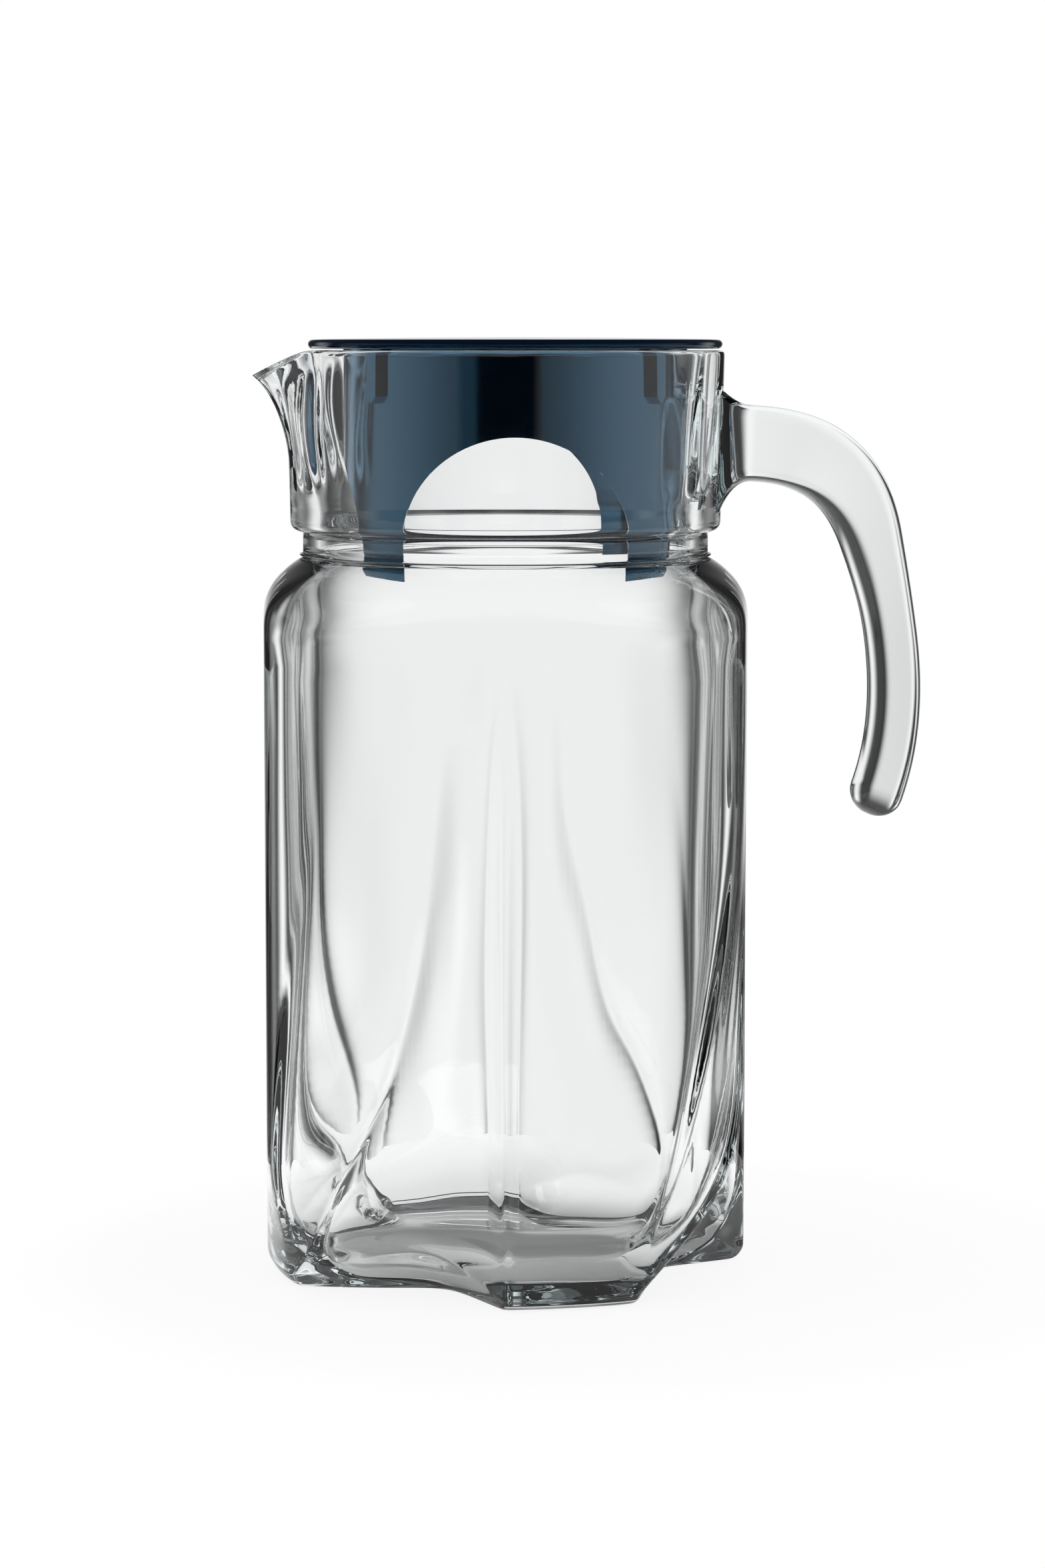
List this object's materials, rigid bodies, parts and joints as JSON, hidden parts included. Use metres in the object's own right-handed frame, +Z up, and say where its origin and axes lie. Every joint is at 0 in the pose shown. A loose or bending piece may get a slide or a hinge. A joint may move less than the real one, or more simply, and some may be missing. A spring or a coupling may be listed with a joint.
{
  "type": "lidded pitcher",
  "caption": "Square-shouldered glass pitcher with swept hollows, a round collar with a pinched spout, an open-ended glass handle and a drop-in plastic lid on an arched skirt.",
  "frame": {"origin": "on the table, at the middle of the footprint from spout tip to handle", "axes": "+Z up, +X towards the handle, -X towards the spout, -Y towards the side that faces the camera"},
  "size_m": [0.156, 0.114, 0.219],
  "materials": {
    "clear_glass": "fire-polished clear soda-lime glass, faintly blue-green where it is thick",
    "navy_plastic": "smooth injection-moulded dark navy plastic"
  },
  "bodies": {
    "jug": {"jug_body": "clear_glass", "handle": "clear_glass"},
    "lid": {"lid": "navy_plastic"}
  },
  "joints": [
    {"name": "lid_lift", "type": "slide", "parent": "jug", "child": "lid", "axis": [0, 0, 1], "range_m": [0, 0.06]}
  ]
}
